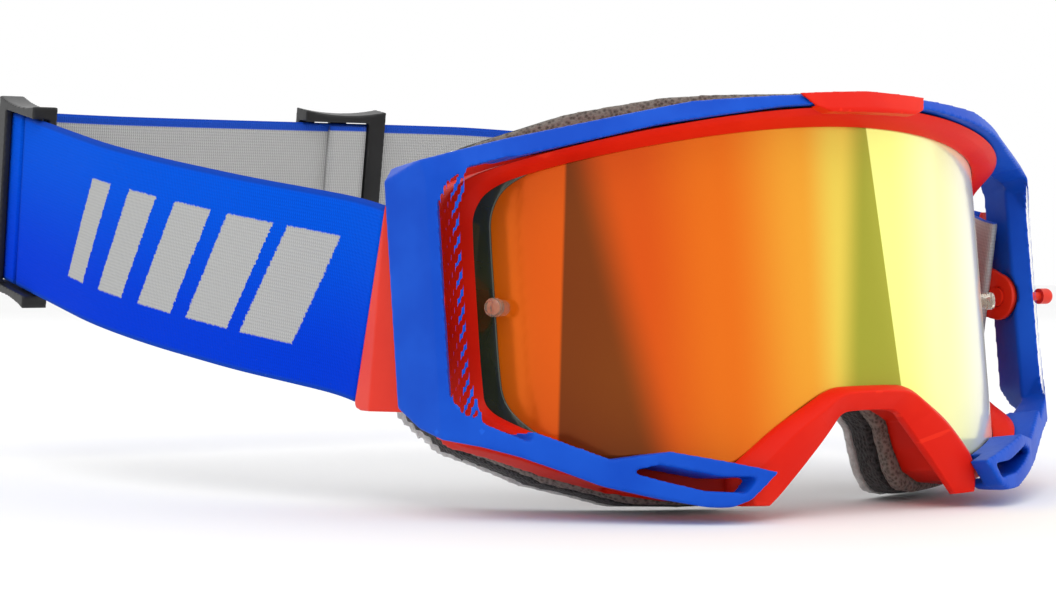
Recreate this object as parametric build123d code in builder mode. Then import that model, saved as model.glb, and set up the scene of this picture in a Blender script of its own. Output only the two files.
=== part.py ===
"""Motocross goggles with outriggers, a cylindrical lens and an elastic strap.

The face parts are drawn upright: +X is the wearer's left, -Y is forward, +Z is up, and the
lens is a cylinder about the Z axis. They are then leaned back about X by LEAN. The strap
is drawn flat about its pivot and then raised towards the rear by RISE.
"""
import os
from build123d import *

os.makedirs("parts", exist_ok=True)

# Driving dimensions, mm
LEAN = 7.1  # the face parts lean back by this, degrees
RISE = 9.8  # the strap rises to the rear by this, degrees
LENS_R = 82.6  # outside radius of the lens
LENS_T = 1.6
POST_AT = 60.5  # the tear-off posts stand at this angle from the middle, degrees
GAP = 0.3  # between parts that move past each other
FIT = 0.1  # between parts that are clipped together
RING_R = 90.0  # front of the lens ring
FRAME_R = 92.5  # front of the outer frame
FRAME_BACK_R = 82.9  # back of the outer frame
RAIL_BACK_R = 86.4  # back of the lower rails in front of the nose bridge's legs
FACE_R = 84.0  # curve of the face, in plan
FACE_FRONT = 67.0  # the grey foam meets the face frame this far ahead of the origin
FOAM_GREY = 4.0
FOAM_BLACK = 8.0
FLEECE = 3.0
REACH = 125.0  # long enough to cut right through the face parts
PIVOT_Y = -33.5  # strap pivot, in the upright face frame
PIVOT_Z = 2.0
STUD_R = 2.5
STUD_CLEAR = 0.05
FLANGE_R = 5.3
FLANGE_X = 88.0  # inner face of the stud's flange
FLANGE_T = 1.5
EAR_X = 86.3  # inner face of the anchor plates
PLATE_T = 2.5
EAR_T = 1.6
TAB_R = 1.15  # pull-tab post
TAB_HEAD_R = 2.1
TAB_HEAD_X = 101.2
TAB_END_X = 105.2
LENS_END_X = 76.8  # the lens's ends, under the ring
GASKET_T = 0.6
POST_R = 1.95
POST_CAP_R = 2.25
POST_STANDS = 5.3
RING_STEPS = (84.6, 87.3)  # the ring's opening widens at these radii
RING_BACK = 25.8  # the ring starts this far ahead of the origin
BROW_T = 0.9
BROW_LIP = 40.5  # top of the brow plate's lip
NOSE_R = 88.2
SEAT_END = 72.0  # the lens's seat in the face frame ends at this angle
VENT_R = 74.2
VENT_L = 13.0
VENT_W = 4.0
TOP_VENTS = (-36, -14, 14, 36)
LOW_VENTS = (-42, 42)
STUD_END_X = 91.3
EAR_R = 6.2
PLATE_X = 90.5  # inner face of the anchor plates' wide part
STRAP_W = 48.5
STRAP_T = 2.2
STRAP_DROP = 3.95  # the strap's middle is this far under the pivot
RIGHT_X = -120.0  # the right run ends straight along Y, at this X
RIGHT_END_Y = 177.0
REAR_Y = 182.0  # the rear run is straight along X, at this Y
REAR_STRAIGHT_X = -88.0  # and ends here
SIDE_SLIDER_X = -19.0
REAR_SLIDER_Y = 178.0
TAIL_T = 1.5
SLIDER_W = 27.0  # along the strap
SLIDER_BAR = 5.5
SLIDER_RAIL = 2.75
SLIDER_T = 2.2

FRONT = Plane.XZ  # looking at the face parts from ahead: X to the right, Z up


def both_sides(right):
    """A closed outline from the points of its right half, from the top to the bottom."""
    left = [(-x, z) for x, z in reversed(right) if x > 0]
    return right + left


def front_face(right, radius=0.0, grow=0.0):
    """A face in the front view, mirrored about the middle, with rounded corners."""
    with BuildSketch() as face:
        with BuildLine():
            Polyline(*both_sides(right), close=True)
        make_face()
        if radius > 0:
            fillet(face.vertices(), radius)
        if grow != 0:
            offset(amount=grow, kind=Kind.INTERSECTION)
    return face.sketch


def one_side(points):
    """A face in the front view on one side, and its mirror image on the other."""
    with BuildSketch() as face:
        with BuildLine():
            Polyline(*points, close=True)
        make_face()
        mirror(about=Plane.YZ)
    return face.sketch


def shell(inner, outer):
    """A tube about the Z axis, tall enough for every face part."""
    with BuildPart() as tube:
        with BuildSketch(Plane.XY.offset(-60)):
            Circle(outer)
            Circle(inner, mode=Mode.SUBTRACT)
        extrude(amount=120)
    return tube.part


def save(piece, name):
    """Writes one finished piece."""
    piece.label = name
    export_step(piece, f"parts/{name}.step")


def save_face(piece, name):
    """Leans a face part back and writes it."""
    save(piece.rotate(Axis.X, -LEAN), name)


def save_strap(piece, name):
    """Raises a strap part to the rear, puts it on the pivot and writes it."""
    raised = piece.rotate(Axis.X, RISE)
    pivot = Vector(0, PIVOT_Y, PIVOT_Z).rotate(Axis.X, -LEAN)
    save(raised.translate(pivot), name)


# Outlines in the front view, right half, from the top to the bottom
OPENING = [(0, 37.5), (38, 35.6), (62, 31.6), (75.1, 27.5), (75.1, -24), (60.5, -36.3), (52, -35.9),
           (36.4, -40.2), (25, -31.6), (11.2, -23.3), (0, -23.1)]
OPENING_2 = [(0, 38.3), (38, 36.4), (62, 32.4), (77.8, 28.3), (77.8, -24.6), (62, -37), (0, -37)]
OPENING_3 = [(0, 39.2), (38, 37.3), (62, 33.4), (79.8, 29.2), (79.8, -24.8), (63, -38), (0, -38)]
RING_OUTER = [(0, 41.2), (22, 40.3), (49, 37.3), (79, 31.8), (83.2, 27), (83.2, -19), (79, -27.2),
              (62.4, -36.6), (50, -25), (0, -10)]
FRAME_OUTER = [(0, 44.2), (41.5, 42.8), (76, 37.6), (91, 34.6), (95.5, 30.5), (95.5, -23),
               (91, -30), (79, -35.1), (65, -42.8), (46, -49.1), (40.5, -49.4), (36.8, -48.1), (33.7, -45.2),
               (30.6, -42.2), (0, -12)]
FRAME_INNER = [(0, 41.6), (22, 40.7), (49, 37.7), (79.2, 32.2), (84.4, 31.5), (86.5, 20), (86.5, -15),
               (85, -24), (79.3, -27.6), (62.4, -37.0), (52, -36.1), (36.2, -40.5), (30.2, -42.3),
               (27, -49), (0, -49)]
FACE_OUTER = [(0, 42.6), (41, 41.2), (60, 39.0), (76, 35.6), (79.8, 30), (79.8, -24), (76.5, -31),
              (63, -39.6), (52.5, -44.4), (42, -47.0), (30, -46.2), (24, -43.5), (20.8, -38), (19, -31),
              (9.5, -26.6), (0, -26.4)]
FACE_INNER = [(0, 34.5), (40, 32.6), (62, 28), (73, 22), (73, -17), (58, -31), (40, -36),
              (32, -33), (13, -19.8), (0, -19.6)]
FOAM_OUTER = [(0, 48.2), (34, 47.6), (54, 45.2), (70, 40.5), (78.5, 32), (78.5, -23), (74, -32),
              (62, -41), (46.5, -47.3), (30, -48.6), (23, -47.5), (19.5, -43), (17, -32), (11, -26),
              (0, -24)]
FOAM_INNER = [(0, 36.5), (36, 35.5), (58, 30), (68, 20), (68, -16), (56, -29), (42, -34.5),
              (33, -31), (14, -16.5), (0, -16)]
NOSE = [(0, -23.3), (11.0, -23.5), (25, -31.8), (36.1, -40.4), (30, -42.2), (20.4, -42.6),
        (8, -29.2), (0, -28.9)]
NOSE_LEG = [(25, -32), (36.5, -41), (36.8, -46.5), (34, -49), (27.4, -49.4), (18, -40)]
BROW = [(0, 44.4), (18.2, 43.7), (15.6, 40.3), (12.5, 38.9), (0, 38.9)]
GASKET_INNER = [(0, 36.9), (38, 35.0), (61, 31.1), (72.8, 27.2), (72.8, -24.5), (60, -35.5),
                (52, -35.3), (36.4, -39.4), (24.8, -31.0), (11.2, -22.7), (0, -22.5)]
# Outline of an anchor plate seen from the side, about the pivot: along the strap, and up
PLATE_OUTLINE = [(0, 6.2), (8, 8), (11, 12), (14.8, 20.8), (22, -28.2), (21.2, -29.3), (19, -29.5),
                 (6, -27.2), (5, -6.2), (0, -6.2)]
# Inside this outline the front of the frame's sides is cut away, so that the lens shows past it
SIDE_FRONT = [(62.4, 35.9), (74.8, 33.5), (84.1, 31.5), (87.6, 28.9), (89.6, 22.7), (89.6, -16),
              (89.4, -19.3), (87.4, -24.9), (84, -27.3), (77.5, -31.2), (72, -34), (68, -35.5),
              (64.7, -36.6)]
# Underside of the frame seen square to its side, from the rear end of an outrigger to the lower rail
UNDERSIDE = [(45, -15), (38.9, -21.5), (32.6, -27), (26.3, -30), (16.7, -32.3), (8.5, -35.1), (0.3, -38.6),
             (-9, -42.8), (-20.4, -46.4), (-31.9, -49.1), (-40, -50)]
UNDERSIDE_TURN = 50  # how far round to the side that view is, degrees
VENT = [(59.5, -40), (54, -38.9), (48.5, -40.6), (42.6, -42.4), (34.8, -43.0), (37.6, -46.4), (46, -45.3),
        (53.5, -42.6)]


def outer_contour():
    """The outer frame seen from above, front and back, with the outrigger bars."""
    with BuildSketch(Plane.XY.offset(-60)) as plan:
        with BuildLine():
            front = CenterArc((0, 0), FRAME_R, -90, 41.5)
            flare = Line(front @ 1, (85.5, -50))
            side = Polyline(flare @ 1, (91, -42), (95, -29), (90.5, -27), (86.5, -39.8), (80, -42.5))
            back_end = (FRAME_BACK_R * 0.788, -FRAME_BACK_R * 0.616)
            Line(side @ 1, back_end)
            ThreePointArc(back_end, (FRAME_BACK_R * 0.423, -FRAME_BACK_R * 0.906), (0, -FRAME_BACK_R))
            Line((0, -FRAME_BACK_R), front @ 0)
        make_face()
        mirror(about=Plane.YZ)
    return plan.sketch


def face_band(front_y, back_y):
    """A band that follows the face in plan, between two distances ahead of the origin."""
    with BuildPart() as band:
        with BuildSketch(Plane.XY.offset(-60)):
            with Locations((0, FACE_R - front_y)):
                Circle(FACE_R)
            with Locations((0, FACE_R - back_y)):
                Circle(FACE_R, mode=Mode.SUBTRACT)
        extrude(amount=120)
    return band.part


# Lens, a cylinder with a hole for each tear-off post
with BuildPart() as lens:
    add(shell(LENS_R - LENS_T, LENS_R))
    with BuildSketch(FRONT):
        add(front_face(RING_OUTER, 0, -2.5))
        Rectangle(2 * LENS_END_X, 100, mode=Mode.INTERSECT)
        add(front_face(OPENING, 3.0, -0.2))
    extrude(amount=REACH, mode=Mode.INTERSECT)
    for turn in (-POST_AT, POST_AT):
        with BuildSketch(Plane.XZ.rotated((0, 0, turn))):
            Circle(POST_R + FIT / 2)
        extrude(amount=REACH, mode=Mode.SUBTRACT)
save_face(lens.part, "lens")

# Red ring in front of the lens, open at the bottom; it widens forward in three steps
with BuildPart() as lens_ring:
    add(shell(LENS_R + FIT, RING_R))
    with BuildSketch(FRONT.offset(RING_BACK)):
        add(front_face(RING_OUTER))
        add(front_face(OPENING, 3.0), mode=Mode.SUBTRACT)
    extrude(amount=REACH, mode=Mode.INTERSECT)
    for start_r, opening in zip(RING_STEPS, (OPENING_2, OPENING_3)):
        with BuildPart(mode=Mode.PRIVATE) as wider:
            add(shell(start_r, RING_R + 1))
            with BuildSketch(FRONT):
                add(front_face(opening, 3.0))
            extrude(amount=REACH, mode=Mode.INTERSECT)
        add(wider.part, mode=Mode.SUBTRACT)
    with BuildSketch(Plane.XY.offset(-22)):
        add(one_side([(75.1, -34.5), (78.6, -29), (79.8, -26), (79.8, 0), (95, 0), (95, -60), (75.1, -60)]))
    extrude(amount=47, mode=Mode.SUBTRACT)
save_face(lens_ring.part, "lens_ring")

# Dark gasket round the lens, inside the ring; wide at the two ends
with BuildPart() as lens_gasket:
    add(shell(LENS_R + FIT, LENS_R + GASKET_T))
    with BuildSketch(FRONT.offset(RING_BACK)):
        add(front_face(OPENING, 3.0, -FIT))
        add(front_face(GASKET_INNER, 3.0), mode=Mode.SUBTRACT)
    extrude(amount=REACH, mode=Mode.INTERSECT)
    for turn in (-POST_AT, POST_AT):
        with BuildSketch(Plane.XZ.rotated((0, 0, turn))):
            Circle(POST_CAP_R + FIT)
        extrude(amount=REACH, mode=Mode.SUBTRACT)
save_face(lens_gasket.part, "lens_gasket")


def tear_off_post(turn):
    """A post through the lens: a flange behind it, a shank, a waist and a round cap."""
    radial = Plane.XZ.rotated((0, 0, turn))
    with BuildPart() as post:
        with BuildSketch(radial.offset(LENS_R - LENS_T - 0.9)):
            Circle(POST_R + 1.2)
        extrude(amount=0.8)
        with BuildSketch(radial.offset(LENS_R - LENS_T - 0.2)):
            Circle(POST_R)
        extrude(amount=LENS_T + 0.2 + POST_STANDS)
        with BuildSketch(radial.offset(LENS_R + POST_STANDS - 2.2)):
            Circle(POST_CAP_R)
        extrude(amount=2.2)
        cap = post.faces().sort_by(Axis((0, 0, 0), radial.z_dir))[-1]
        fillet(cap.edges(), 0.9)
    return post.part


save_face(tear_off_post(-POST_AT), "tear_off_post_right")
save_face(tear_off_post(POST_AT), "tear_off_post_left")

# Blue outer frame with its two outriggers, the lower vents and the pivot bores
with BuildPart() as outer_frame:
    add(outer_contour())
    extrude(amount=120)
    with BuildSketch(FRONT):
        add(front_face(FRAME_OUTER))
        add(front_face(FRAME_INNER), mode=Mode.SUBTRACT)
    extrude(amount=REACH, mode=Mode.INTERSECT)
    with BuildSketch(FRONT):
        add(one_side(VENT))
    extrude(amount=REACH, mode=Mode.SUBTRACT)
    with BuildPart(mode=Mode.PRIVATE) as side_front:
        with BuildSketch(Plane.XY.offset(-60)):
            add(one_side([(76, -62), (89.6, -44), (86.5, -39.8), (86.5, -38), (76, -38)]))
        extrude(amount=120)
        with BuildSketch(FRONT):
            add(front_face(SIDE_FRONT))
        extrude(amount=REACH, mode=Mode.INTERSECT)
    add(side_front.part, mode=Mode.SUBTRACT)
    for side in (-1, 1):
        with BuildSketch(Plane.XZ.rotated((0, 0, side * UNDERSIDE_TURN))):
            with BuildLine():
                Polyline(*[(side * u, z) for u, z in UNDERSIDE + [(-40, -60), (45, -60)]], close=True)
            make_face()
        extrude(amount=REACH, mode=Mode.SUBTRACT)
    with BuildPart(mode=Mode.PRIVATE) as leg_room:
        add(shell(70, RAIL_BACK_R))
        with BuildSketch(FRONT):
            add(one_side(NOSE_LEG))
            offset(amount=GAP, kind=Kind.INTERSECTION)
        extrude(amount=REACH, mode=Mode.INTERSECT)
    add(leg_room.part, mode=Mode.SUBTRACT)
    for side in (-1, 1):
        with BuildSketch(Plane.YZ.offset(side * 70)):
            with Locations((PIVOT_Y, PIVOT_Z)):
                Circle(FLANGE_R + FIT)
        extrude(amount=side * (FLANGE_X + FLANGE_T - 70 + FIT), mode=Mode.SUBTRACT)
        with BuildSketch(Plane.YZ.offset(side * 70)):
            with Locations((PIVOT_Y, PIVOT_Z)):
                Circle(EAR_R + 0.9)
        extrude(amount=side * (EAR_X + EAR_T - 70 + GAP), mode=Mode.SUBTRACT)
        with BuildSketch(Plane.YZ.offset(side * 70)):
            with Locations((PIVOT_Y, PIVOT_Z)):
                Circle(STUD_R + 0.02)
        extrude(amount=side * (STUD_END_X - 70 + FIT), mode=Mode.SUBTRACT)
    with BuildSketch(Plane.YZ.offset(70)):
        with Locations((PIVOT_Y, PIVOT_Z)):
            Circle(TAB_R + 0.02)
    extrude(amount=40, mode=Mode.SUBTRACT)
save_face(outer_frame.part, "outer_frame")

# Red latch plate of the lens ring: it lies over the middle of the top rail, and its lip
# stands on the ring's front
with BuildPart() as brow_plate:
    add(shell(FRAME_R + GAP, FRAME_R + GAP + BROW_T))
    with BuildPart(mode=Mode.PRIVATE) as lip:
        add(shell(RING_R, FRAME_R + GAP + BROW_T))
        with BuildSketch(FRONT):
            with Locations((0, BROW_LIP - 5)):
                Rectangle(40, 10)
        extrude(amount=REACH, mode=Mode.INTERSECT)
    add(lip.part)
    with BuildSketch(FRONT):
        add(front_face(BROW))
    extrude(amount=REACH, mode=Mode.INTERSECT)
save_face(brow_plate.part, "brow_plate")

# Red nose bridge: an arch, and two legs that run down behind the lower rails
with BuildPart() as nose_bridge:
    add(shell(LENS_R - LENS_T, NOSE_R))
    with BuildSketch(FRONT):
        add(front_face(NOSE))
    extrude(amount=REACH, mode=Mode.INTERSECT)
    with BuildPart(mode=Mode.PRIVATE) as legs:
        add(shell(LENS_R + FIT, RAIL_BACK_R - GAP))
        with BuildSketch(FRONT):
            add(one_side(NOSE_LEG))
            add(front_face(OPENING), mode=Mode.SUBTRACT)
        extrude(amount=REACH, mode=Mode.INTERSECT)
    add(legs.part)
save_face(nose_bridge.part, "nose_bridge")

# Red face frame behind the lens, with vent slots in its top and bottom walls
with BuildPart() as face_frame:
    with BuildSketch(Plane.XY.offset(-60)):
        with BuildLine():
            seat = CenterArc((0, 0), LENS_R - LENS_T - FIT, -90, SEAT_END)
            step = PolarLine(seat @ 1, 1.8, SEAT_END - 90)
            rim = CenterArc((0, 0), LENS_R + FIT / 2, SEAT_END - 90, 75.2 - SEAT_END)
            wall_x = (rim @ 1).X
            face_y = FACE_R - FACE_FRONT
            back_end = (wall_x, face_y - (FACE_R**2 - wall_x**2) ** 0.5)
            Line(rim @ 1, back_end)
            ThreePointArc(back_end, (50, face_y - (FACE_R**2 - 50**2) ** 0.5), (0, -FACE_FRONT))
            Line((0, -FACE_FRONT), seat @ 0)
            Line(step @ 1, rim @ 0)
        make_face()
        mirror(about=Plane.YZ)
    extrude(amount=120)
    with BuildSketch(FRONT):
        add(front_face(FACE_OUTER))
        add(front_face(FACE_INNER, 4.0), mode=Mode.SUBTRACT)
    extrude(amount=REACH, mode=Mode.INTERSECT)
    for height, angles in ((20, TOP_VENTS), (-60, LOW_VENTS)):
        with BuildSketch(Plane.XY.offset(height)):
            for angle in angles:
                with PolarLocations(VENT_R, 1, start_angle=angle - 90):
                    SlotOverall(VENT_L, VENT_W, rotation=90)
        extrude(amount=40, mode=Mode.SUBTRACT)
save_face(face_frame.part, "face_frame")


def vent_pads(low, high, angles):
    """Open-cell foam pads in the vent slots of the face frame."""
    with BuildPart() as pads:
        with BuildSketch(Plane.XY.offset(low)):
            for angle in angles:
                with PolarLocations(VENT_R, 1, start_angle=angle - 90):
                    SlotOverall(VENT_L - GAP, VENT_W - GAP, rotation=90)
        extrude(amount=high - low)
    return pads.part


save_face(vent_pads(34.8, 37.8, TOP_VENTS), "vent_foam_top")
save_face(vent_pads(-41.2, -38.2, LOW_VENTS), "vent_foam_lower")


def face_foam(front, thickness, name):
    """One layer of the face foam."""
    with BuildPart() as layer:
        add(face_band(front - FIT, front - thickness))
        with BuildSketch(FRONT.offset(-20)):
            add(front_face(FOAM_OUTER, 3.0))
            add(front_face(FOAM_INNER, 4.0), mode=Mode.SUBTRACT)
        extrude(amount=REACH, mode=Mode.INTERSECT)
    save_face(layer.part, name)


face_foam(FACE_FRONT, FOAM_GREY, "face_foam_grey")
face_foam(FACE_FRONT - FOAM_GREY, FOAM_BLACK, "face_foam_black")
face_foam(FACE_FRONT - FOAM_GREY - FOAM_BLACK, FLEECE, "face_fleece")


def pivot_stud(side):
    """A stud in the outrigger's bore: a flange, and a pin that carries the anchor plate."""
    inward = Plane.YZ.offset(side * FLANGE_X)
    with BuildPart() as stud:
        with BuildSketch(inward):
            with Locations((PIVOT_Y, PIVOT_Z)):
                Circle(FLANGE_R)
        extrude(amount=side * FLANGE_T)
        with BuildSketch(Plane.YZ.offset(side * (EAR_X - 0.5))):
            with Locations((PIVOT_Y, PIVOT_Z)):
                Circle(STUD_R)
        extrude(amount=side * (STUD_END_X - EAR_X + 0.5))
        if side > 0:
            with BuildSketch(Plane.YZ.offset(STUD_END_X)):
                with Locations((PIVOT_Y, PIVOT_Z)):
                    Circle(TAB_R)
            extrude(amount=TAB_END_X - STUD_END_X)
            with BuildSketch(Plane.YZ.offset(TAB_HEAD_X)):
                with Locations((PIVOT_Y, PIVOT_Z)):
                    Circle(TAB_HEAD_R)
            extrude(amount=TAB_END_X - TAB_HEAD_X)
            fillet(stud.faces().sort_by(Axis.X)[-1].edges(), 1.4)
    return stud.part


save_face(pivot_stud(-1), "pivot_stud_right")
save_face(pivot_stud(1), "pivot_stud_left")

# The strap parts, drawn flat with the pivot at the origin
STRAP_LOW = -STRAP_DROP - STRAP_W / 2


def anchor_plate(side):
    """A red plate: an ear on the stud inside the outrigger, then a wedge the strap meets."""
    with BuildPart() as plate:
        with BuildSketch(Plane.XY.offset(-35)):
            with BuildLine():
                Polyline((EAR_X, -7), (EAR_X + EAR_T, -7), (EAR_X + EAR_T, 6.5),
                         (PLATE_X + PLATE_T, 14.5), (PLATE_X + PLATE_T, 40), (PLATE_X, 40),
                         (PLATE_X, 15.5), (EAR_X, 7.6), close=True)
            make_face()
            if side < 0:
                mirror(about=Plane.YZ, mode=Mode.REPLACE)
        extrude(amount=70)
        with BuildSketch(Plane.YZ.offset(-110)):
            with BuildLine():
                Polyline(*PLATE_OUTLINE, close=True)
            make_face()
            Circle(EAR_R)
            Circle(STUD_R + STUD_CLEAR, mode=Mode.SUBTRACT)
        extrude(amount=220, mode=Mode.INTERSECT)
    return plate.part


save_strap(anchor_plate(-1), "strap_anchor_right")
save_strap(anchor_plate(1), "strap_anchor_left")


def strap_band(points, radii):
    """A band on its edge along a path seen from above, cut along its anchor plate's edge."""
    with BuildPart() as band:
        with BuildSketch(Plane.XY.offset(STRAP_LOW)):
            with BuildLine():
                FilletPolyline(*points, radius=radii)
                offset(amount=STRAP_T / 2, kind=Kind.TANGENT, side=Side.BOTH)
            make_face()
        extrude(amount=STRAP_W)
        with BuildSketch(Plane.YZ.offset(-130)):
            with BuildLine():
                Polyline(*AHEAD_OF_STRAP, close=True)
            make_face()
        extrude(amount=260, mode=Mode.SUBTRACT)
    return band.part


AHEAD_OF_STRAP = [(-20, 30), (13.55, 30), (14.97, 20.3), (22.1, -28.2), (24.1, -42), (-20, -42)]
STRAP_X = PLATE_X + PLATE_T / 2

# Strap, right run: from the right anchor plate back to the rear slider
right_run = strap_band([(-STRAP_X, 8), (-STRAP_X, 30), (-104, 56), (-114.5, 88), (RIGHT_X, 122),
                        (RIGHT_X, RIGHT_END_Y)], 38)
save_strap(right_run, "strap_right")

# Strap, rear and left run: a fold at the rear slider, then behind the head to the left plate
left_run = strap_band([(STRAP_X, 8), (STRAP_X, 30), (101, 58), (104, 95), (93, 133), (64, 162),
                       (24, REAR_Y), (REAR_STRAIGHT_X, REAR_Y), (-112, REAR_Y + 4),
                       (RIGHT_X, REAR_Y + 20), (RIGHT_X, RIGHT_END_Y + STRAP_T + FIT)],
                      [20, 28, 28, 28, 28, 28, 28, 8, 2.2])
save_strap(left_run, "strap_left")

# The strap's sewn ends, folded round onto the inner side of the anchor plates
for side, name in ((-1, "strap_tail_right"), (1, "strap_tail_left")):
    near, far = EAR_X - FIT, PLATE_X - FIT
    with BuildPart() as strap_tail:
        with BuildSketch(Plane.XY.offset(-27)):
            with BuildLine():
                Polyline((near, 3), (near, 7.7), (far, 15.6), (far, 30), (far - TAIL_T, 30),
                         (far - TAIL_T, 16.2), (near - TAIL_T, 8.3), (near - TAIL_T, 3), close=True)
            make_face()
            if side < 0:
                mirror(about=Plane.YZ, mode=Mode.REPLACE)
        extrude(amount=46.5)
    save_strap(strap_tail.part, name)


def slider():
    """A strap slider: two rails with hollowed ends, two bars outside the strap and one inside.

    The strap runs along X and the slider's middle is at the origin; the inside is at -Y.
    """
    clear = STRAP_T / 2 + GAP
    half_h = STRAP_W / 2 + SLIDER_RAIL
    with BuildPart() as piece:
        with BuildSketch(Plane.XZ.offset(-clear - SLIDER_T)):
            with BuildLine():
                left = Line((-SLIDER_W / 2, -half_h - 1.4), (-SLIDER_W / 2, half_h + 1.4))
                top = ThreePointArc(left @ 1, (0, half_h), (SLIDER_W / 2, half_h + 1.4))
                right = Line(top @ 1, (SLIDER_W / 2, -half_h - 1.4))
                ThreePointArc(right @ 1, (0, -half_h), left @ 0)
            make_face()
            Rectangle(SLIDER_W + 1, STRAP_W + 1.2, mode=Mode.SUBTRACT)
        extrude(amount=2 * (clear + SLIDER_T))
        for x, y in ((-SLIDER_W / 2 + SLIDER_BAR / 2, clear), (0, clear),
                     (SLIDER_W / 2 - SLIDER_BAR / 2, -clear - SLIDER_T)):
            with BuildSketch(Plane.XY.offset(-half_h)):
                with Locations((x, y + SLIDER_T / 2)):
                    Rectangle(SLIDER_BAR, SLIDER_T)
            extrude(amount=2 * half_h)
    return piece.part


side_slider = slider().translate((SIDE_SLIDER_X, REAR_Y, -STRAP_DROP))
save_strap(side_slider, "strap_slider_side")
rear_slider = slider().rotate(Axis.X, 180).rotate(Axis.Z, 90)
rear_slider = rear_slider.translate((RIGHT_X, REAR_SLIDER_Y, -STRAP_DROP))
save_strap(rear_slider, "strap_slider_rear")

# The strap's folded end, sewn down on its inner side, which moves with the side slider
with BuildPart() as sewn_end:
    with BuildSketch(Plane.XY.offset(STRAP_LOW + 0.5)):
        with Locations((SIDE_SLIDER_X + 1.3, REAR_Y - STRAP_T / 2 - GAP - 0.8)):
            Rectangle(12, 1.6)
    extrude(amount=STRAP_W - 1)
save_strap(sewn_end.part, "strap_sewn_end")
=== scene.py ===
"""Looks of the motocross goggles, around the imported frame. Lengths here are in mm unless named _M."""
import math

import bmesh
import bpy
import numpy as np
from mathutils import Matrix, Vector


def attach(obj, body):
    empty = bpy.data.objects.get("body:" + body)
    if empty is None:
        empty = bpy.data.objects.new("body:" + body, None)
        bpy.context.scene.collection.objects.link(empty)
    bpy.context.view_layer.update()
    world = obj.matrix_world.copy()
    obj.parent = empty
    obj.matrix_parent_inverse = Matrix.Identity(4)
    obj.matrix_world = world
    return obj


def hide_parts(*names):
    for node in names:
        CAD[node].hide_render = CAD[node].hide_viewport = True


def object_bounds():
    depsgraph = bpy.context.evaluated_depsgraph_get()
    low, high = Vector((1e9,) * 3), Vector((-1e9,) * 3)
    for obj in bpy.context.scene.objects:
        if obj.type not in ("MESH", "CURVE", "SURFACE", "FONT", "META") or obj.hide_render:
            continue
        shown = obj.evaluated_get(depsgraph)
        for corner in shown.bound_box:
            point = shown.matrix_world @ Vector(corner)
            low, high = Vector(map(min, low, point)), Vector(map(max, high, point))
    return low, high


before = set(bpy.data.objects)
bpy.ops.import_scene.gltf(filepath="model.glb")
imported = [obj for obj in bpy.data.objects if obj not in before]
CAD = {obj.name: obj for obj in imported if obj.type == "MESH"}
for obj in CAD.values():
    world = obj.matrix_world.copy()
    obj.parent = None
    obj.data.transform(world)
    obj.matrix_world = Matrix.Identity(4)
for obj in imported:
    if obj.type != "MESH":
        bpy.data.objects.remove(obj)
cad_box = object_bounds()

LEAN = math.radians(7.1)
RISE = math.radians(9.8)
PIVOT_Y, PIVOT_Z = -33.5, 2  # the strap's pivot in the upright face frame
PIVOT = (PIVOT_Y * math.cos(LEAN) + PIVOT_Z * math.sin(LEAN), -PIVOT_Y * math.sin(LEAN) + PIVOT_Z * math.cos(LEAN))
LENS_R = 82.6
LENS_T = 1.6
STRAP_W = 48.5
STRAP_T = 2.2
STRAP_DROP = 3.95  # the strap's middle is this far under the pivot
STRAP_LOW = -STRAP_DROP - STRAP_W / 2


# ---------------------------------------------------------------- coordinates
def face_to_row(points):
    """Points of the upright face frame, leaned back, in metres."""
    p = np.asarray(points, float)
    x, y, z = p[..., 0], p[..., 1], p[..., 2]
    c, s = math.cos(LEAN), math.sin(LEAN)
    return np.stack([x, y * c + z * s, -y * s + z * c], -1) / 1000


def row_to_face(points):
    """Points in metres, in the upright face frame in mm."""
    p = np.asarray(points, float) * 1000
    x, y, z = p[..., 0], p[..., 1], p[..., 2]
    c, s = math.cos(LEAN), math.sin(LEAN)
    return np.stack([x, y * c - z * s, y * s + z * c], -1)


def strap_to_row(points):
    """Points of the flat strap frame, raised to the rear about the pivot, in metres."""
    p = np.asarray(points, float)
    x, y, z = p[..., 0], p[..., 1], p[..., 2]
    c, s = math.cos(RISE), math.sin(RISE)
    return np.stack([x, PIVOT[0] + y * c - z * s, PIVOT[1] + y * s + z * c], -1) / 1000


def on_cylinder(x, z, radius):
    """A point at that front-view place on a cylinder about the face frame's Z axis."""
    x = np.asarray(x, float)
    return np.stack([x, -np.sqrt(np.maximum(radius**2 - x**2, 0)), np.asarray(z, float) + 0 * x], -1)


# ---------------------------------------------------------------- materials
def lin(r, g, b):
    """A colour on the 0-255 screen scale, as linear light."""
    out = []
    for c in (r / 255, g / 255, b / 255):
        out.append(c / 12.92 if c <= 0.04045 else ((c + 0.055) / 1.055) ** 2.4)
    return (*out, 1.0)


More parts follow.
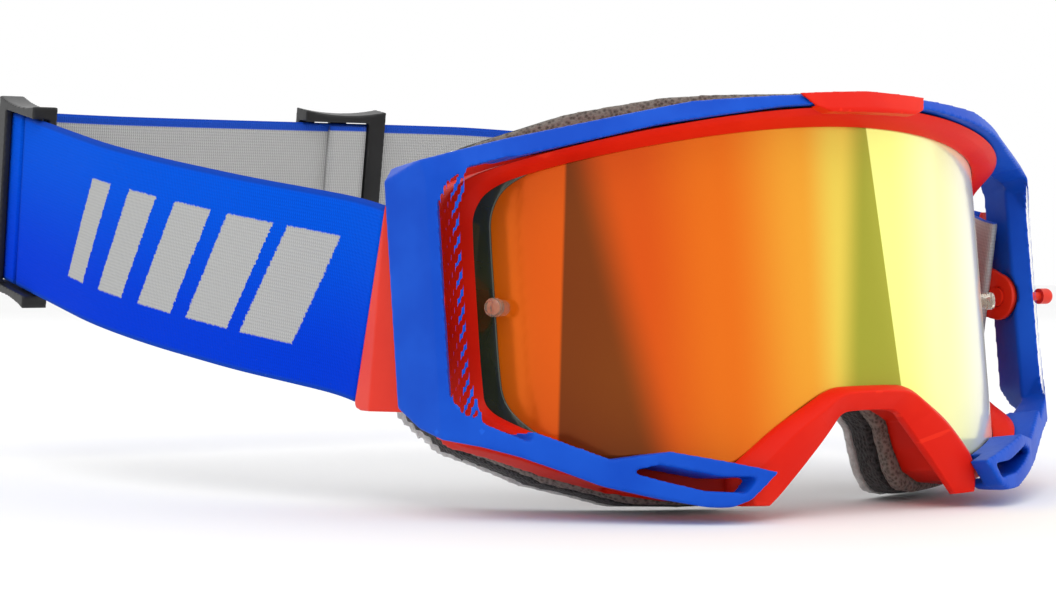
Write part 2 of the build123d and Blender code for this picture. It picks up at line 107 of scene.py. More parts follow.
class Shader:
    """A material's node tree, with short calls for the nodes used here."""

    def __init__(self, name, roughness=0.4, **sockets):
        self.material = bpy.data.materials.new(name)
        self.material.use_nodes = True
        self.tree = self.material.node_tree
        self.bsdf = self.tree.nodes["Principled BSDF"]
        self.bsdf.inputs["Roughness"].default_value = roughness
        for key, value in sockets.items():
            self.bsdf.inputs[key.replace("_", " ")].default_value = value

    def node(self, kind, **settings):
        n = self.tree.nodes.new(kind)
        for key, value in settings.items():
            setattr(n, key, value)
        return n

    def put(self, value, socket):
        if isinstance(value, bpy.types.NodeSocket):
            self.tree.links.new(value, socket)
        else:
            socket.default_value = value

    def math(self, operation, a, b=0.0, clamp=False):
        n = self.node("ShaderNodeMath", operation=operation, use_clamp=clamp)
        self.put(a, n.inputs[0])
        self.put(b, n.inputs[1])
        return n.outputs[0]

    def mix(self, factor, a, b, blend="MIX"):
        n = self.node("ShaderNodeMix", data_type="RGBA", blend_type=blend)
        self.put(factor, n.inputs[0])
        self.put(a, n.inputs[6])
        self.put(b, n.inputs[7])
        return n.outputs[2]

    def uv(self):
        split = self.node("ShaderNodeSeparateXYZ")
        self.tree.links.new(self.node("ShaderNodeUVMap", uv_map="surface").outputs[0], split.inputs[0])
        return split.outputs[0], split.outputs[1]

    def noise(self, scale, detail=2.0, rough=0.5):
        n = self.node("ShaderNodeTexNoise")
        self.tree.links.new(self.node("ShaderNodeTexCoord").outputs["Object"], n.inputs["Vector"])
        n.inputs["Scale"].default_value = scale
        n.inputs["Detail"].default_value = detail
        n.inputs["Roughness"].default_value = rough
        return n.outputs["Fac"]

    def cells(self, scale):
        n = self.node("ShaderNodeTexVoronoi", feature="F1")
        self.tree.links.new(self.node("ShaderNodeTexCoord").outputs["Object"], n.inputs["Vector"])
        n.inputs["Scale"].default_value = scale
        return n.outputs["Distance"]

    def step(self, value, low, high):
        """0 under low and 1 over high, smooth between."""
        n = self.node("ShaderNodeMapRange", interpolation_type="SMOOTHSTEP", clamp=True)
        self.put(value, n.inputs[0])
        self.put(low, n.inputs[1])
        self.put(high, n.inputs[2])
        return n.outputs[0]

    def bump(self, height, strength, distance_m):
        n = self.node("ShaderNodeBump")
        n.inputs["Strength"].default_value = strength
        n.inputs["Distance"].default_value = distance_m
        self.put(height, n.inputs["Height"])
        self.put(n.outputs[0], self.bsdf.inputs["Normal"])

    def color(self, value):
        self.put(value, self.bsdf.inputs["Base Color"])
        return self.material


def plastic(name, rgb, pale_and_highlight, roughness=0.45, spec=0.12):
    """Moulded plastic: a fine grain, faint mottling towards the paler colour, and convex edges painted in the paler
    colour as a painted highlight.
    """
    s = Shader(name, roughness, Specular_IOR_Level=spec)
    mottle = s.step(s.noise(55, 3), 0.35, 0.7)
    tone = s.mix(s.math("MULTIPLY", mottle, 0.35), lin(*rgb), lin(*pale_and_highlight))
    # painted highlight: convex edges, found by pointiness, lightened towards the paler colour
    edge = s.step(s.node("ShaderNodeNewGeometry").outputs["Pointiness"], 0.52, 0.62)
    tone = s.mix(s.math("MULTIPLY", edge, 0.6), tone, lin(*pale_and_highlight))
    s.put(s.math("ADD", s.math("MULTIPLY", s.noise(900, 2), 0.12), roughness - 0.06), s.bsdf.inputs["Roughness"])
    s.bump(s.noise(2600, 2), 0.12, 0.00006)
    return s.color(tone)


def foam(name, dark, light, cell=1100.0, depth=0.0004):
    """Open-cell foam: small pores, light rims between them."""
    s = Shader(name, 0.95, Specular_IOR_Level=0.1, Sheen_Weight=0.15, Sheen_Roughness=0.6)
    pores = s.cells(cell)
    grain = s.noise(cell * 1.4, 3, 0.7)
    tone = s.mix(s.step(pores, 0.15, 0.75), lin(*dark), lin(*light))
    tone = s.mix(s.math("MULTIPLY", s.step(grain, 0.45, 0.7), 0.6), tone, lin(*light))
    s.bump(s.math("ADD", pores, s.math("MULTIPLY", grain, 0.8)), 0.7, depth)
    return s.color(tone)


def fleece():
    """Brushed fleece: soft clumps of short fibres."""
    s = Shader("fleece_brushed", 1.0, Specular_IOR_Level=0.05, Sheen_Weight=0.5, Sheen_Roughness=0.5)
    clump = s.noise(420, 5, 0.75)
    fibre = s.noise(3000, 3, 0.7)
    tone = s.mix(s.step(clump, 0.3, 0.75), lin(178, 178, 176), lin(226, 226, 224))
    s.bump(s.math("ADD", clump, s.math("MULTIPLY", fibre, 0.5)), 0.8, 0.0006)
    return s.color(tone)


RIB = 0.62  # spacing of the strap's ribs
ROW = 0.85  # spacing of its woven rows


def weave(s, along, up, depth_m):
    """Gives a material the relief of a ribbed woven band; returns its pattern, 0 to 1."""
    ribs = s.math("SINE", s.math("MULTIPLY", along, 2 * math.pi * 100 / RIB))
    rows = s.math("SINE", s.math("ADD", s.math("MULTIPLY", up, 2 * math.pi * 100 / ROW),
                                 s.math("MULTIPLY", ribs, 1.2)))
    both = s.math("ADD", s.math("MULTIPLY", ribs, 0.32), s.math("MULTIPLY", rows, 0.18))
    pattern = s.math("ADD", both, 0.5, clamp=True)
    fuzz = s.math("MULTIPLY", s.noise(5200, 2), 0.25)
    s.bump(s.math("ADD", pattern, fuzz), 0.75, depth_m)
    return pattern


def strap_outer(name, graphic):
    """Bright blue woven face. graphic gives its grey slanted bars: where along the run they start
    and end, in mm, their slant, and how many there are."""
    s = Shader(name, 0.9, Specular_IOR_Level=0.05)
    along, up = s.uv()
    pattern = weave(s, along, up, 0.00022)
    height = s.math("MULTIPLY", up, 100 / STRAP_W)
    # painted light: the blue is darker towards the strap's bottom edge and lighter towards its top
    blue = s.mix(s.step(height, 0.1, 0.95), lin(0, 60, 222), lin(0, 92, 232))
    blue = s.mix(s.math("MULTIPLY", s.math("SUBTRACT", 1.0, pattern), 0.4), blue, lin(0, 52, 176))
    edge = s.math("SUBTRACT", 1.0, s.math("MULTIPLY", s.step(height, 0.012, 0.035),
                                          s.math("SUBTRACT", 1.0, s.step(height, 0.965, 0.988))))
    blue = s.mix(edge, blue, lin(22, 70, 180))
    first, last, slant, bars = graphic
    wobble = s.math("MULTIPLY", s.math("SUBTRACT", s.noise(1500, 2), 0.5), 0.016)
    q = s.math("ADD", s.math("ADD", along, wobble), s.math("MULTIPLY", up, slant))
    phase = s.math("DIVIDE", s.math("SUBTRACT", q, first / 100), (last - first) / 100)
    share = s.math("FRACT", s.math("MULTIPLY", phase, bars))
    width = s.math("ADD", s.math("MULTIPLY", phase, -0.42), 0.86)
    inside = s.math("MULTIPLY", s.step(phase, 0.0, 0.004), s.math("SUBTRACT", 1.0, s.step(phase, 0.996, 1.0)))
    bar = s.math("SUBTRACT", 1.0, s.step(s.math("SUBTRACT", share, width), -0.01, 0.01))
    low = s.step(s.math("ADD", height, wobble), 0.20, 0.21)
    high = s.math("SUBTRACT", 1.0, s.step(s.math("ADD", height, wobble), 0.79, 0.80))
    mask = s.math("MULTIPLY", s.math("MULTIPLY", inside, bar), s.math("MULTIPLY", low, high))
    grey = s.mix(s.math("MULTIPLY", pattern, 0.6), lin(168, 169, 168), lin(206, 206, 204))
    blue = s.mix(mask, blue, grey)
    return s.color(blue)


def strap_lining():
    """Grey ribbed lining of the strap's inner side, between blue selvedges."""
    s = Shader("strap_lining", 0.9, Specular_IOR_Level=0.1, Sheen_Weight=0.15, Sheen_Roughness=0.5)
    along, up = s.uv()
    pattern = weave(s, along, up, 0.00018)
    grey = s.mix(pattern, lin(158, 158, 157), lin(204, 204, 203))
    height = s.math("MULTIPLY", up, 100 / STRAP_W)
    inner = s.math("MULTIPLY", s.step(height, 0.045, 0.055), s.math("SUBTRACT", 1.0, s.step(height, 0.945, 0.955)))
    return s.color(s.mix(inner, lin(24, 76, 190), grey))


def lens_front():
    """Orange mirror coating; its run through amber to pale yellow across the lens, and the dark and light bands in
    it, are painted reflections.
    """
    s = Shader("lens_mirror", 0.16, Metallic=0.35, Specular_IOR_Level=0.2)
    u, v = s.uv()
    azimuth = s.math("SUBTRACT", s.math("MULTIPLY", u, 180.0), 90.0)
    height = s.math("SUBTRACT", s.math("MULTIPLY", v, 100.0), 50.0)
    tone = lin(238, 106, 4)
    # painted reflections: the dark brown, olive and light bands and the paling towards pale yellow stand in for the
    # surroundings mirrored in the coating
    reflection_bands = ((-58, 0.0, 8, (226, 84, 2)), (-50.1, 0.068, 0.7, (112, 34, 0)), (-40.1, -0.132, 8, (216, 70, 0)),
             (-31, 0.0, 12, (230, 104, 8)), (-17, 0.0, 14, (238, 160, 44)), (-7, 0.02, 7, (234, 206, 82)),
             (-2.1, 0.086, 5.5, (156, 160, 50)), (6.07, -0.058, 0.25, (246, 252, 140)),
             (15, 0.0, 14, (250, 254, 184)), (30, 0.0, 20, (255, 255, 236)))
    for middle, slope, width, rgb in reflection_bands:
        offset = s.math("SUBTRACT", azimuth, s.math("ADD", s.math("MULTIPLY", height, slope), middle))
        tone = s.mix(s.step(offset, -width / 2, width / 2), tone, lin(*rgb))
    film = s.math("MULTIPLY", s.math("SUBTRACT", s.noise(14, 2), 0.5), 0.10)
    tone = s.mix(s.math("ADD", film, 0.05, clamp=True), tone, lin(255, 190, 60))
    s.bump(s.noise(30, 1), 0.02, 0.0002)
    return s.color(tone)


def lens_back():
    """The uncoated inner face of the lens: a dark amber gloss."""
    s = Shader("lens_inner_face", 0.08, Specular_IOR_Level=0.5, Coat_Weight=0.3)
    tone = s.mix(s.step(s.noise(12, 2), 0.3, 0.7), lin(96, 44, 8), lin(122, 58, 12))
    return s.color(tone)


def gasket():
    """Dark glossy border round the mirror coating."""
    s = Shader("gasket_dark_gloss", 0.16, Specular_IOR_Level=0.5, Coat_Weight=0.6, Coat_Roughness=0.08)
    tone = s.mix(s.step(s.noise(60, 2), 0.35, 0.7), lin(38, 42, 20), lin(50, 54, 30))
    return s.color(tone)


def clear_plastic():
    """Clear moulded plastic of the tear-off posts."""
    s = Shader("post_clear_plastic", 0.06, Specular_IOR_Level=0.5, Transmission_Weight=0.85, IOR=1.5)
    tone = s.mix(s.step(s.noise(300, 2), 0.35, 0.7), lin(226, 214, 190), lin(246, 240, 226))
    return s.color(tone)


MAT = {
    "blue": plastic("frame_blue_plastic", (6, 72, 190), (28, 100, 222)),
    "red": plastic("red_plastic", (222, 28, 8), (244, 50, 24)),
    # the same red plastic darkened: painted shade, used on the face frame
    "shaded_red": plastic("red_plastic_painted_shade", (206, 26, 8), (226, 42, 22)),
    "black": plastic("slider_black_plastic", (22, 22, 22), (46, 46, 46), 0.45, 0.4),
    "anchor": plastic("anchor_red_plastic", (226, 46, 24), (240, 60, 36), 0.38, 0.3),
    "foam_grey": foam("foam_grey_cells", (78, 70, 64), (128, 118, 110)),
    "foam_black": foam("foam_black_cells", (18, 18, 18), (58, 58, 58)),
    "vent": foam("vent_foam_cells", (12, 12, 12), (44, 44, 44), 700.0, 0.0006),
    "fleece": fleece(),
    "lens": lens_front(),
    "lining": strap_lining(),
    "strap_near": strap_outer("strap_blue_near", (42, 150, 0.45, 5)),
    "strap_far": strap_outer("strap_blue_far", (44, 150, 0.45, 5)),
    "lens_back": lens_back(),
    "gasket": gasket(),
    "clear": clear_plastic(),
}


# ---------------------------------------------------------------- mesh helpers
def new_piece(name, verts, faces, materials, indices=None, uv=None, body=None):
    """A smooth-shaded mesh piece; uv is one pair per vertex."""
    mesh = bpy.data.meshes.new(name)
    mesh.from_pydata([tuple(v) for v in verts], [], faces)
    for m in materials:
        mesh.materials.append(m)
    if indices is not None:
        mesh.polygons.foreach_set("material_index", indices)
    if uv is not None:
        layer = mesh.uv_layers.new(name="surface")
        corner = np.zeros(len(mesh.loops), int)
        mesh.loops.foreach_get("vertex_index", corner)
        layer.data.foreach_set("uv", np.asarray(uv, float)[corner].ravel())
    mesh.validate()
    obj = bpy.data.objects.new(name, mesh)
    bpy.context.scene.collection.objects.link(obj)
    bm = bmesh.new()
    bm.from_mesh(mesh)
    bmesh.ops.recalc_face_normals(bm, faces=bm.faces)
    bm.to_mesh(mesh)
    bm.free()
    mesh.shade_smooth()
    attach(obj, body)
    return obj


def with_modifiers(obj, *settings):
    """Applies modifiers, given as (kind, {setting: value}), and returns the object."""
    for kind, values in settings:
        m = obj.modifiers.new(kind.lower(), kind)
        for key, value in values.items():
            setattr(m, key, value)
    bpy.context.view_layer.update()
    evaluated = obj.evaluated_get(bpy.context.evaluated_depsgraph_get())
    mesh = bpy.data.meshes.new_from_object(evaluated)
    obj.modifiers.clear()
    obj.data = mesh
    return obj


def moulded(node, voxel, rounds, body, material, warp=None):
    """The CAD node's shape with its edges rounded as a mould leaves them; voxel is in mm."""
    mesh = CAD[node].data.copy()
    mesh.materials.clear()
    bm = bmesh.new()
    bm.from_mesh(mesh)
    bmesh.ops.remove_doubles(bm, verts=bm.verts, dist=2e-6)
    bm.to_mesh(mesh)
    bm.free()
    obj = bpy.data.objects.new(node + "_moulded", mesh)
    bpy.context.scene.collection.objects.link(obj)
    with_modifiers(obj, ("REMESH", {"mode": "VOXEL", "voxel_size": voxel / 1000, "use_smooth_shade": True}))
    if warp:
        co = np.zeros(len(obj.data.vertices) * 3)
        obj.data.vertices.foreach_get("co", co)
        obj.data.vertices.foreach_set("co", warp(co.reshape(-1, 3)).ravel())
    with_modifiers(obj, ("SMOOTH", {"factor": 0.5, "iterations": rounds}))
    obj.data.materials.clear()
    obj.data.materials.append(material)
    obj.data.shade_smooth()
    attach(obj, body)
    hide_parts(node)
    return obj


def corner_cut(points, rounds=4, closed=False):
    """Rounds a polyline by cutting its corners; the curve stays inside them."""
    p = np.asarray(points, float)
    for _ in range(rounds):
        q = np.roll(p, -1, 0) if closed else p[1:]
        a = p if closed else p[:-1]
        cut = np.stack([0.75 * a + 0.25 * q, 0.25 * a + 0.75 * q], 1).reshape(-1, p.shape[1])
        p = cut if closed else np.vstack([p[:1], cut[1:-1], p[-1:]])
    return p


def mirrored(right):
    """Points of the right half from the bottom to the middle, and on down the other side."""
    p = np.asarray(right, float)
    left = p[:-1][::-1].copy()
    left[:, 0] *= -1
    return np.vstack([p, left])


def grid_faces(rows, columns, close_rows=False, close_columns=False):
    """Quads of a grid of vertices numbered row by row."""
    faces = []
    for i in range(rows if close_rows else rows - 1):
        for j in range(columns if close_columns else columns - 1):
            a, b = i * columns + j, i * columns + (j + 1) % columns
            c = ((i + 1) % rows) * columns
            faces.append((a, b, c + (j + 1) % columns, c + j))
    return faces


# ---------------------------------------------------------------- lens and its ring
RING_IN = mirrored([(60.5, -36.3), (66, -31.7), (71.5, -27.4), (75.1, -23), (75.1, -17), (75.1, 0), (75.1, 17),
                    (75.1, 23), (73, 28.3), (66, 30.9), (50, 33.9), (25, 36.6), (0, 37.5)])
# the outer edge, and the radius of the ring's front there
RING_OUT = mirrored([(62.4, -36.6, 88), (69, -32.9, 88.5), (75, -29.6, 87.5), (79, -25.2, 85.5), (79.8, -18, 83.9),
                     (79.8, 0, 83.9), (79.8, 17, 83.9), (80.4, 25, 85), (79.2, 30.8, 87.5), (70, 33.6, 89.3),
                     (52, 36.9, 89.5), (26, 40.1, 89.5), (0, 41.2, 89.5)])
# share of the way from the inner edge to the outer one, and the share of the ring's rise there
RING_PROFILE = [(0.0, 0.0), (0.0, 0.06), (0.04, 0.12), (0.50, 0.66), (0.60, 0.74), (0.66, 0.78), (0.95, 1.0),
                (1.0, 0.97), (1.0, 0.0)]
RING_BASE = 82.75  # radius of the back of the ring

# The nose bridge, from the foot of a leg to the middle: its upper edge and its lower edge
NOSE_UPPER = mirrored([(34.5, -49.2), (36.8, -46), (36.3, -41), (31, -36.6), (25, -31.7), (18, -27.6), (11.2, -23.5),
                       (5, -23.3), (0, -23.3)])
NOSE_LOWER = mirrored([(27.5, -49.6), (25, -47.4), (21, -43.2), (17, -39), (14, -35.9), (11, -32.6), (8.2, -29.3),
                       (4, -29), (0, -28.9)])
# share of the way from the upper edge to the lower one, and the radius there
NOSE_PROFILE = [(0.0, 82.75), (0.0, 83.4), (0.06, 84.6), (0.28, 86.9), (0.36, 86.8), (1.0, 83.4), (1.0, 80.9),
                (0.22, 80.9), (0.22, 82.75)]
LEG_TOP, LEG_RUN = -40, 6  # the legs sink by LEG_SINK over this height
LEG_SINK = 0.2


def loft(name, rings, node, material, body):
    """A closed-section loft through rings of points, with its two ends filled and its edges rounded."""
    columns = len(rings)
    verts = face_to_row(np.stack(rings, 1).reshape(-1, 3))
    count = len(rings[0])
    faces = grid_faces(count, columns, close_columns=True)
    last = (count - 1) * columns
    faces += [tuple(range(columns)), tuple(last + k for k in range(columns))]
    obj = new_piece(name, verts, faces, [material], body=body)
    with_modifiers(obj, ("BEVEL", {"width": 0.0004, "segments": 2, "limit_method": "ANGLE", "angle_limit": 0.45}))
    obj.data.shade_smooth()
    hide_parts(node)
    return obj


def lens_ring():
    """The red ring in front of the lens, bevelled inwards in two steps."""
    inner, outer = corner_cut(RING_IN), corner_cut(RING_OUT)
    rings = []
    for t, rise in RING_PROFILE:
        p = inner * (1 - t) + outer[:, :2] * t
        rings.append(on_cylinder(p[:, 0], p[:, 1], RING_BASE + (outer[:, 2] - RING_BASE) * rise))
    return loft("lens_ring_bevel", rings, "lens_ring", MAT["red"], "lens")


def nose_bridge():
    """The red arch over the nose and its two legs."""
    upper, lower = corner_cut(NOSE_UPPER), corner_cut(NOSE_LOWER)
    rings = []
    for t, radius in NOSE_PROFILE:
        p = upper * (1 - t) + lower * t
        leg = np.clip((LEG_TOP - p[:, 1]) / LEG_RUN, 0, 1)
        rings.append(on_cylinder(p[:, 0], p[:, 1], RING_BASE + (radius - RING_BASE) * (1 - LEG_SINK * leg)))
    return loft("nose_bridge_bevel", rings, "nose_bridge", MAT["red"], "frame")


# the lens's outline: its upper right quarter, and its lower right quarter
LENS_UPPER = [(77.0, 0), (77.0, 12), (77.0, 22), (75.5, 28.6), (68, 32.0), (52, 35.0), (26, 38.0), (0, 38.9)]
LENS_LOWER = [(77.0, 0), (77.0, -12), (77.0, -22), (72.5, -28.0), (66, -33.2), (61, -37.3), (52, -37.0), (45, -39.4),
              (37, -41.3), (31, -37.2), (25, -32.4), (18, -27.6), (11.4, -24.2), (5, -24.1), (0, -24.1)]
LENS_RINGS = 30
LENS_CENTRE = 0.004  # size of the innermost ring, as a share of the outline


def lens():
    """The lens: fine rings from its outline to its middle, on both faces, and a rim."""
    upper = np.asarray(LENS_UPPER)
    lower = np.asarray(LENS_LOWER)
    loop = np.vstack([upper, (upper * [-1, 1])[::-1][1:], (lower * [-1, 1])[1:], lower[::-1][1:-1]])
    loop = corner_cut(loop, 4, closed=True)
    shares = np.maximum(np.linspace(1.0, 0.0, LENS_RINGS), LENS_CENTRE)
    verts, uv = [], []
    for radius in (LENS_R, LENS_R - LENS_T):
        for share in shares:
            p = loop * share
            verts.append(on_cylinder(p[:, 0], p[:, 1], radius))
            azimuth = np.degrees(np.arcsin(p[:, 0] / radius))
            uv.append(np.stack([(azimuth + 90) / 180, (p[:, 1] + 50) / 100], -1))
    count, rings = len(loop), len(shares)
    faces = grid_faces(rings, count, close_columns=True)
    indices = [0] * len(faces)
    back = [tuple(v + rings * count for v in f) for f in faces]
    faces += back
    indices += [1] * len(back)
    faces += [tuple((rings - 1) * count + k for k in range(count)),
              tuple((2 * rings - 1) * count + k for k in range(count))]
    indices += [0, 1]
    for k in range(count):
        n = (k + 1) % count
        faces.append((k, n, rings * count + n, rings * count + k))
        indices.append(1)
    obj = new_piece("lens_mirror", face_to_row(np.vstack(verts)), faces, [MAT["lens"], MAT["lens_back"]], indices,
                    np.vstack(uv), "lens")
    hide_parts("lens")
    return obj


GASKET_IN = [(62.5, -35.6), (66.5, -31.6), (70.0, -27.6), (72.6, -22), (72.9, -14), (72.9, 2), (72.9, 15),
             (72.8, 22), (71.0, 27.6), (67, 30.6), (63.5, 32.2)]
GASKET_OUT = [(64.0, -36.0), (68.5, -33.2), (73.5, -28.2), (76.6, -23), (76.8, -14), (76.8, 2), (76.8, 15),
              (76.8, 23), (74.5, 29.2), (69, 32.4), (64.8, 33.0)]
# share of the way from the inner edge to the outer one, and the height over the lens there
GASKET_PROFILE = [(0, 0.02), (0, 0.16), (0.08, 0.26), (0.5, 0.3), (1, 0.3), (1, 0.02)]


def lens_gasket():
    """The dark border at both ends of the lens; it runs out under the ring at the top and bottom."""
    inner, outer = corner_cut(GASKET_IN), corner_cut(GASKET_OUT)
    verts, faces = [], []
    for side in (-1, 1):
        rows = []
        for t, height in GASKET_PROFILE:
            x, z = (inner * (1 - t) + outer * t).T
            rows.append(on_cylinder(side * x, z, LENS_R + height))
        base = sum(len(v) for v in verts)
        columns = len(rows)
        verts.append(np.stack(rows, 1).reshape(-1, 3))
        faces += [tuple(base + v for v in f) for f in grid_faces(len(inner), columns, close_columns=True)]
        last = (len(inner) - 1) * columns
        faces += [tuple(base + k for k in range(columns)), tuple(base + last + k for k in range(columns))]
    obj = new_piece("lens_border", face_to_row(np.vstack(verts)), faces, [MAT["gasket"]], body="lens")
    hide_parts("lens_gasket")
    return obj


lens_ring()
nose_bridge()
lens()
lens_gasket()


# ---------------------------------------------------------------- moulded parts
# the facet along the top of the frame starts at this height, for each distance from the middle
FACET_LINE = ([0, 18, 42, 60, 76, 85, 91, 96], [40.0, 39.6, 38.6, 35.6, 33.0, 31.4, 29.6, 26.5])
FACET_SLOPE = 0.62
FACET_FROM_R, FACET_DEPTH = 85.5, 6.0  # it grows forward of this radius, over this depth
FACET_END_X, FACET_FADE = 94, 6  # and fades out towards the outriggers


def frame_facets(row_points):
    """Slopes the front of the frame's upper edge back."""
    p = row_to_face(row_points)
    radius = np.hypot(p[:, 0], p[:, 1])
    over = np.maximum(p[:, 2] - np.interp(np.abs(p[:, 0]), *FACET_LINE), 0)
    front = np.clip((radius - FACET_FROM_R) / FACET_DEPTH, 0, 1)
    front *= np.clip((FACET_END_X - np.abs(p[:, 0])) / FACET_FADE, 0, 1)
    p[:, 1] += FACET_SLOPE * over * front
    return face_to_row(p)


moulded("outer_frame", 0.5, 5, "frame", MAT["blue"], frame_facets)
# the face frame takes the red plastic darkened as painted shade
moulded("face_frame", 0.6, 4, "frame", MAT["shaded_red"])
moulded("brow_plate", 0.3, 2, "lens", MAT["red"], frame_facets)
for side in ("right", "left"):
    moulded("strap_anchor_" + side, 0.4, 3, "strap", MAT["anchor"])
moulded("strap_slider_side", 0.4, 3, "slider_side", MAT["black"])
moulded("strap_slider_rear", 0.4, 3, "slider_rear", MAT["black"])
for node, key, slot, size in (("face_foam_grey", "foam_grey", "foam_grey", 1.0),
                              ("face_foam_black", "foam_black", "foam_black", 1.0),
                              ("face_fleece", "fleece", "fleece", 0.8),
                              ("vent_foam_top", "vent", "vent_foam", 0.5),
                              ("vent_foam_lower", "vent", "vent_foam", 0.5)):
    pad = moulded(node, size, 4, "frame", MAT[key])

for node in ("pivot_stud_right", "pivot_stud_left"):
    CAD[node].data.materials.clear()
    CAD[node].data.materials.append(MAT["anchor"])
for node in ("tear_off_post_right", "tear_off_post_left"):
    CAD[node].data.materials.clear()
    CAD[node].data.materials.append(MAT["clear"])


# ---------------------------------------------------------------- strap
SECTION_ROWS = 20
STATION_RUN = 1.6  # length of band between two sections


def band(name, points, low, high, thickness, body, node, materials, front=(0.0, 0.0), flip=1):
    """A woven band on edge along a path, its first material on the left of the path, or with flip -1
    on the right; front gives where the band starts at its bottom and its top edge."""
    path = corner_cut(points)
    run = np.concatenate([[0], np.cumsum(np.linalg.norm(np.diff(path, axis=0), axis=1))])
    half, edge = thickness / 2, min(0.45 * thickness, 0.9)
    arc = [(half - edge + edge * math.cos(a), edge * math.sin(a)) for a in np.radians((0, 30, 60, 90))]
    heights = np.linspace(low + edge, high - edge, SECTION_ROWS)
    section = [(half, z) for z in heights[:-1]] + [(o, high - edge + dz) for o, dz in arc]
    section += [(-o, high - edge + dz) for o, dz in arc[::-1]] + [(-half, z) for z in heights[::-1][1:-1]]
    section += [(-o, low + edge - dz) for o, dz in arc] + [(o, low + edge - dz) for o, dz in arc[::-1][:-1]]
    section = np.asarray(section) * [flip, 1]
    stations = max(int(run[-1] / STATION_RUN), 6)
    verts, uv = [], []
    for t in np.linspace(0, 1, stations):
        start = np.interp(section[:, 1], (low, high), front)
        s = start + (run[-1] - start) * t
        x, y = np.interp(s, run, path[:, 0]), np.interp(s, run, path[:, 1])
        ahead, behind = s + STATION_RUN / 2, s - STATION_RUN / 2
        dx = np.interp(ahead, run, path[:, 0]) - np.interp(behind, run, path[:, 0])
        dy = np.interp(ahead, run, path[:, 1]) - np.interp(behind, run, path[:, 1])
        size = np.hypot(dx, dy)
        verts.append(np.stack([x - dy / size * section[:, 0], y + dx / size * section[:, 0], section[:, 1]], -1))
        uv.append(np.stack([s / 100, (section[:, 1] - low) / 100], -1))
    columns = len(section)
    faces = grid_faces(stations, columns, close_columns=True)
    mean = np.asarray([section[[j, (j + 1) % columns], 0].mean() for j in range(columns)])
    indices = [int(flip * mean[k % columns] < -half * 0.9) for k in range(len(faces))]
    last = (stations - 1) * columns
    faces += [tuple(range(columns)), tuple(last + k for k in range(columns))]
    indices += [0, 0]
    verts = strap_to_row(np.vstack(verts))
    obj = new_piece(name, verts, faces, materials, indices, np.vstack(uv), body)
    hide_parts(node)
    return obj


RIGHT_RUN = [(-91.75, 8), (-91.75, 22), (-93, 32), (-98.5, 44.5), (-105.5, 59.5), (-110.5, 75.5), (-115, 91),
             (-118.3, 108), (-120, 124), (-120, 140), (-120, 177)]
LEFT_RUN = [(91.75, 8), (91.75, 27), (94, 37), (99, 51), (102, 66), (103.8, 86), (103.5, 98), (98, 117), (91, 135),
            (78, 148), (62, 163.5), (44, 173), (26, 181), (14, 182), (-40, 182), (-86, 182), (-104, 184.5),
            (-113, 187), (-116.5, 194), (-119.9, 199), (-120, 190), (-120, 179.3)]
# the anchor plate's edge meets the strap this far along its bottom and its top
FRONT_CUT = (14.1, 6.97)
STRAP_END = [(85.45, 3), (85.45, 6), (86.4, 9), (88.8, 14), (89.65, 17), (89.65, 30)]
END_LOW, END_HIGH, END_T = -27, 19.5, 1.5
SEWN_PATH = [(-23.7, 179.8), (-11.7, 179.8)]
SEWN_INSET, SEWN_T = 0.5, 1.6
band("strap_run_right", RIGHT_RUN, STRAP_LOW, STRAP_LOW + STRAP_W, STRAP_T, "strap", "strap_right",
     [MAT["strap_near"], MAT["lining"]], FRONT_CUT)
band("strap_run_left", LEFT_RUN, STRAP_LOW, STRAP_LOW + STRAP_W, STRAP_T, "strap", "strap_left",
     [MAT["strap_far"], MAT["lining"]], FRONT_CUT, flip=-1)
for side, name in ((-1, "right"), (1, "left")):
    band("strap_end_" + name, [(side * x, y) for x, y in STRAP_END], END_LOW, END_HIGH, END_T, "strap",
         "strap_tail_" + name, [MAT["lining"], MAT["lining"]], flip=-side)
band("strap_end_sewn", SEWN_PATH, STRAP_LOW + SEWN_INSET, STRAP_LOW + STRAP_W - SEWN_INSET, SEWN_T,
     "slider_side", "strap_sewn_end", [MAT["lining"], MAT["lining"]])

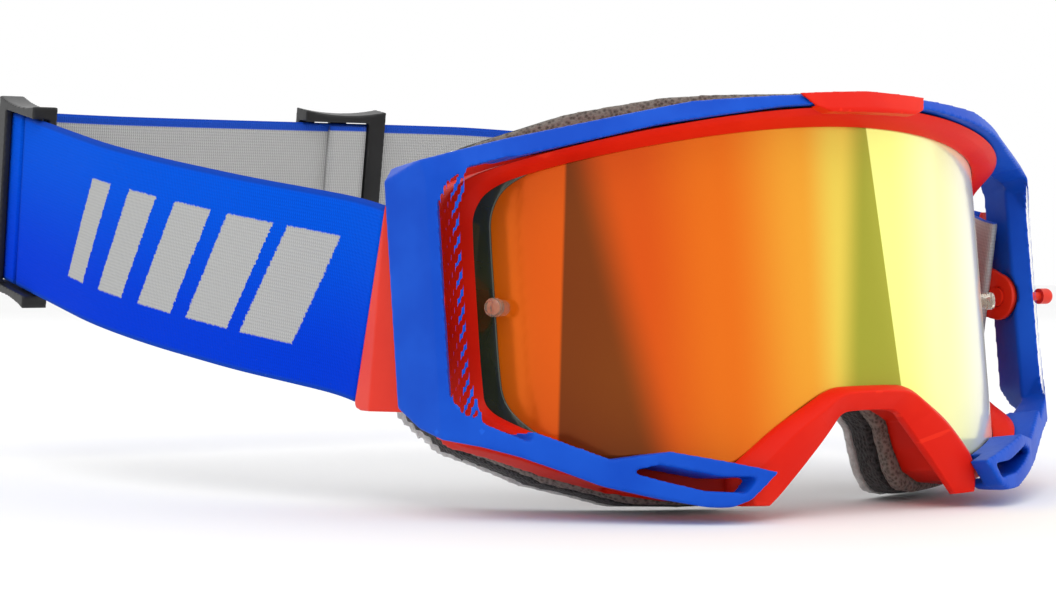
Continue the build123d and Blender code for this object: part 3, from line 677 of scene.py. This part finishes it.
# ---------------------------------------------------------------- room, lights and camera
FLOOR_M, FLOOR_CELLS = 6.0, 24
FLOOR_DROP_M = 0.0004
LIGHT_M = 1.2
CAMERA_AT_M = Vector((-0.37617, -0.54633, 0.01783))
CAMERA_LOOKS = Vector((0.524, 0.852, -0.0185))
CAMERA_LENS = 86.857


def floor():
    """A pale floor just under the lowest point."""
    n, height = FLOOR_CELLS, cad_box[0][2] - FLOOR_DROP_M
    steps = [FLOOR_M * (i / n - 0.5) for i in range(n + 1)]
    verts = [(x, y, height) for x in steps for y in steps]
    mesh = bpy.data.meshes.new("floor")
    mesh.from_pydata(verts, [], grid_faces(n + 1, n + 1))
    s = Shader("floor_pale", 0.9, Specular_IOR_Level=0.1)
    mesh.materials.append(s.color(s.mix(s.noise(3), lin(244, 244, 244), lin(250, 250, 250))))
    obj = bpy.data.objects.new("floor", mesh)
    bpy.context.scene.collection.objects.link(obj)


def area_light(name, at, power):
    """A round light, in metres and watts, that looks at the origin."""
    data = bpy.data.lights.new(name, "AREA")
    data.shape = "DISK"
    data.size = LIGHT_M
    data.energy = power
    obj = bpy.data.objects.new(name, data)
    obj.location = at
    obj.rotation_euler = (-Vector(at)).to_track_quat("-Z", "Y").to_euler()
    bpy.context.scene.collection.objects.link(obj)


floor()
area_light("key", (-0.5, -0.7, 1.3), 5)
area_light("fill", (1.1, -0.5, 0.6), 1.5)
area_light("back", (0.2, 1.3, 0.9), 1.5)
world = bpy.data.worlds.new("studio")
world.use_nodes = True
world.node_tree.nodes["Background"].inputs["Color"].default_value = (1, 1, 1, 1)
world.node_tree.nodes["Background"].inputs["Strength"].default_value = 1.0
bpy.context.scene.world = world

camera_data = bpy.data.cameras.new("camera")
camera_data.sensor_fit = "HORIZONTAL"
camera_data.sensor_width = 36.0
camera_data.lens = CAMERA_LENS
camera_data.clip_start = 0.01
camera_data.clip_end = 50
camera = bpy.data.objects.new("camera", camera_data)
forward = CAMERA_LOOKS.normalized()
right = forward.cross(Vector((0, 0, 1))).normalized()
up = right.cross(forward)
turn = Matrix((right, up, -forward)).transposed()
camera.matrix_world = Matrix.Translation(CAMERA_AT_M) @ turn.to_4x4()
bpy.context.scene.collection.objects.link(camera)
bpy.context.scene.camera = camera
bpy.context.scene.view_settings.view_transform = "Standard"
